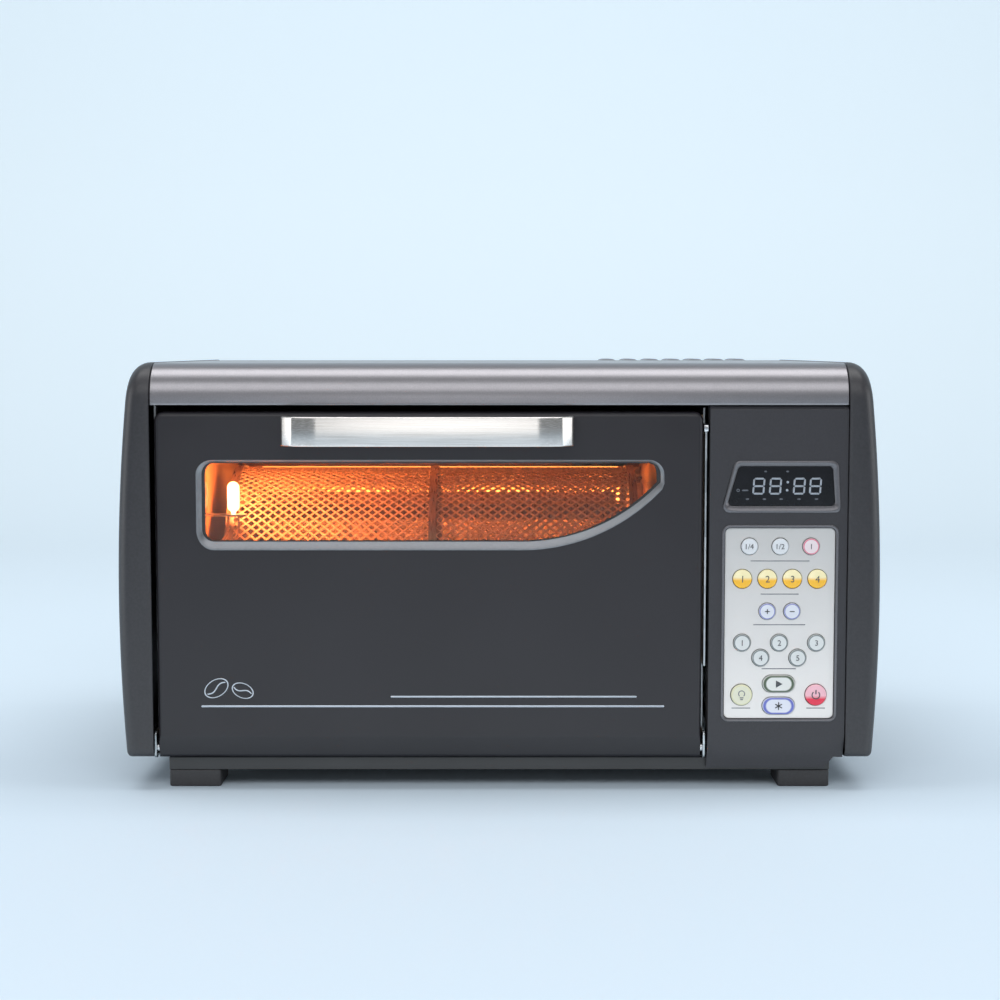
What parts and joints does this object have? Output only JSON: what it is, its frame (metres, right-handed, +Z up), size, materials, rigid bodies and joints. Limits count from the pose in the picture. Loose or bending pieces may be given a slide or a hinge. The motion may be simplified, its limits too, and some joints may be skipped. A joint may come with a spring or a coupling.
{
  "type": "coffee roaster",
  "caption": "Countertop drum coffee roaster: drop-down windowed door with a bar handle, mesh drum in a heated chamber, keypad column, moulded side panels and a louvred cover.",
  "frame": {"origin": "middle of the overall box, on the surface that the feet stand on", "axes": "+X to the right seen from the front, +Y to the rear, +Z up; the door faces -Y"},
  "size_m": [0.438, 0.311, 0.248],
  "materials": {
    "painted_steel_charcoal": "fine satin powder coat",
    "painted_steel_black": "satin black paint",
    "black_plastic": "moulded, lightly textured",
    "black_rubber": "moulded",
    "galvanised_steel": "galvanised sheet",
    "chamber_steel": "aluminised sheet",
    "tray_steel": "pressed sheet",
    "quartz_glow": "frosted quartz, glowing",
    "ceramic": "glazed ceramic",
    "mirror_steel": "polished sheet",
    "guard_wire": "plated wire",
    "lamp_glow": "clear lamp glass, lit",
    "drum_mesh_steel": "expanded mesh, heat tinted",
    "drum_steel": "stainless sheet",
    "drive_steel": "zinc plated",
    "fan_plastic": "moulded",
    "circuit_board": "solder resist",
    "display_window": "smoked clear plastic",
    "keypad_silver": "silver grey lacquer",
    "fascia_plastic": "moulded, satin",
    "window_glass": "clear heat resistant glass",
    "brushed_stainless": "brushed along its length",
    "hinge_steel": "plated",
    "key_grey": "moulded",
    "key_amber": "moulded, glossy",
    "key_ivory": "moulded",
    "key_red": "moulded, glossy"
  },
  "bodies": {
    "casing": {"base_pan": "painted_steel_black", "feet": "black_plastic", "side_plates": "galvanised_steel", "divider_plate": "galvanised_steel", "top_cover": "painted_steel_charcoal", "side_panel_left": "black_plastic", "side_panel_right": "black_plastic", "rear_panel": "painted_steel_black", "cord_gland": "black_rubber", "front_frame": "chamber_steel", "chamber_shell": "chamber_steel", "chamber_end_walls": "chamber_steel", "heater_tubes": "quartz_glow", "heater_caps": "ceramic", "heater_reflector": "mirror_steel", "heater_guard": "guard_wire", "lamp_bulb": "lamp_glow", "lamp_holder": "ceramic", "drum_cradle": "tray_steel", "drive_motor": "drive_steel", "afterburner": "galvanised_steel", "exhaust_fan_frame": "fan_plastic", "cooling_fan_frame": "fan_plastic", "power_board": "circuit_board", "control_board": "circuit_board", "display_lens": "display_window", "keypad_plate": "keypad_silver", "control_fascia": "fascia_plastic"},
    "door": {"door_skin": "painted_steel_charcoal", "door_liner": "chamber_steel", "door_glass": "window_glass", "door_handle": "brushed_stainless", "door_hinge_pins": "hinge_steel"},
    "drum": {"drum_mesh": "drum_mesh_steel", "drum_frame": "drum_steel", "drum_pin_end": "drum_steel", "drum_drive_end": "drum_steel", "drive_coupler": "drive_steel"},
    "hatch": {"drum_hatch": "drum_steel"},
    "tray": {"chaff_tray": "tray_steel"},
    "exhaust_fan": {"exhaust_fan_rotor": "fan_plastic"},
    "cooling_fan": {"cooling_fan_rotor": "fan_plastic"},
    "key_weight_1": {"key_weight_1": "key_grey"},
    "key_weight_2": {"key_weight_2": "key_grey"},
    "key_weight_3": {"key_weight_3": "key_grey"},
    "key_program_1": {"key_program_1": "key_amber"},
    "key_program_2": {"key_program_2": "key_amber"},
    "key_program_3": {"key_program_3": "key_amber"},
    "key_program_4": {"key_program_4": "key_amber"},
    "key_minus": {"key_minus": "key_grey"},
    "key_plus": {"key_plus": "key_grey"},
    "key_profile_1": {"key_profile_1": "key_grey"},
    "key_profile_2": {"key_profile_2": "key_grey"},
    "key_profile_3": {"key_profile_3": "key_grey"},
    "key_profile_4": {"key_profile_4": "key_grey"},
    "key_profile_5": {"key_profile_5": "key_grey"},
    "key_start": {"key_start": "key_grey"},
    "key_cool": {"key_cool": "key_grey"},
    "key_light": {"key_light": "key_ivory"},
    "key_power": {"key_power": "key_red"}
  },
  "joints": [
    {"name": "door_hinge", "type": "hinge", "parent": "casing", "child": "door", "pos_m": [-0.0402, -0.119, 0.024], "axis": [1, 0, 0], "range_deg": [0, 85]},
    {"name": "drum_spin", "type": "hinge", "parent": "casing", "child": "drum", "pos_m": [-0.0402, -0.0155, 0.115], "axis": [1, 0, 0], "continuous": true},
    {"name": "hatch_hinge", "type": "hinge", "parent": "drum", "child": "hatch", "pos_m": [-0.1665, -0.0155, 0.099], "axis": [0, 1, 0], "range_deg": [0, 8]},
    {"name": "tray_slide", "type": "slide", "parent": "casing", "child": "tray", "axis": [0, -1, 0], "range_m": [0, 0.01]},
    {"name": "exhaust_fan_spin", "type": "hinge", "parent": "casing", "child": "exhaust_fan", "pos_m": [0.12, 0.1215, 0.205], "axis": [0, 0, 1], "continuous": true},
    {"name": "cooling_fan_spin", "type": "hinge", "parent": "casing", "child": "cooling_fan", "pos_m": [-0.0995, 0.14, 0.125], "axis": [0, 1, 0], "continuous": true},
    {"name": "key_weight_1_press", "type": "slide", "parent": "casing", "child": "key_weight_1", "axis": [0, 1, 0], "range_m": [0, 0.0006], "stiffness_N_per_m": 1000},
    {"name": "key_weight_2_press", "type": "slide", "parent": "casing", "child": "key_weight_2", "axis": [0, 1, 0], "range_m": [0, 0.0006], "stiffness_N_per_m": 1000},
    {"name": "key_weight_3_press", "type": "slide", "parent": "casing", "child": "key_weight_3", "axis": [0, 1, 0], "range_m": [0, 0.0006], "stiffness_N_per_m": 1000},
    {"name": "key_program_1_press", "type": "slide", "parent": "casing", "child": "key_program_1", "axis": [0, 1, 0], "range_m": [0, 0.0006], "stiffness_N_per_m": 1000},
    {"name": "key_program_2_press", "type": "slide", "parent": "casing", "child": "key_program_2", "axis": [0, 1, 0], "range_m": [0, 0.0006], "stiffness_N_per_m": 1000},
    {"name": "key_program_3_press", "type": "slide", "parent": "casing", "child": "key_program_3", "axis": [0, 1, 0], "range_m": [0, 0.0006], "stiffness_N_per_m": 1000},
    {"name": "key_program_4_press", "type": "slide", "parent": "casing", "child": "key_program_4", "axis": [0, 1, 0], "range_m": [0, 0.0006], "stiffness_N_per_m": 1000},
    {"name": "key_minus_press", "type": "slide", "parent": "casing", "child": "key_minus", "axis": [0, 1, 0], "range_m": [0, 0.0006], "stiffness_N_per_m": 1000},
    {"name": "key_plus_press", "type": "slide", "parent": "casing", "child": "key_plus", "axis": [0, 1, 0], "range_m": [0, 0.0006], "stiffness_N_per_m": 1000},
    {"name": "key_profile_1_press", "type": "slide", "parent": "casing", "child": "key_profile_1", "axis": [0, 1, 0], "range_m": [0, 0.0006], "stiffness_N_per_m": 1000},
    {"name": "key_profile_2_press", "type": "slide", "parent": "casing", "child": "key_profile_2", "axis": [0, 1, 0], "range_m": [0, 0.0006], "stiffness_N_per_m": 1000},
    {"name": "key_profile_3_press", "type": "slide", "parent": "casing", "child": "key_profile_3", "axis": [0, 1, 0], "range_m": [0, 0.0006], "stiffness_N_per_m": 1000},
    {"name": "key_profile_4_press", "type": "slide", "parent": "casing", "child": "key_profile_4", "axis": [0, 1, 0], "range_m": [0, 0.0006], "stiffness_N_per_m": 1000},
    {"name": "key_profile_5_press", "type": "slide", "parent": "casing", "child": "key_profile_5", "axis": [0, 1, 0], "range_m": [0, 0.0006], "stiffness_N_per_m": 1000},
    {"name": "key_start_press", "type": "slide", "parent": "casing", "child": "key_start", "axis": [0, 1, 0], "range_m": [0, 0.0006], "stiffness_N_per_m": 1000},
    {"name": "key_cool_press", "type": "slide", "parent": "casing", "child": "key_cool", "axis": [0, 1, 0], "range_m": [0, 0.0006], "stiffness_N_per_m": 1000},
    {"name": "key_light_press", "type": "slide", "parent": "casing", "child": "key_light", "axis": [0, 1, 0], "range_m": [0, 0.0006], "stiffness_N_per_m": 1000},
    {"name": "key_power_press", "type": "slide", "parent": "casing", "child": "key_power", "axis": [0, 1, 0], "range_m": [0, 0.0006], "stiffness_N_per_m": 1000}
  ]
}
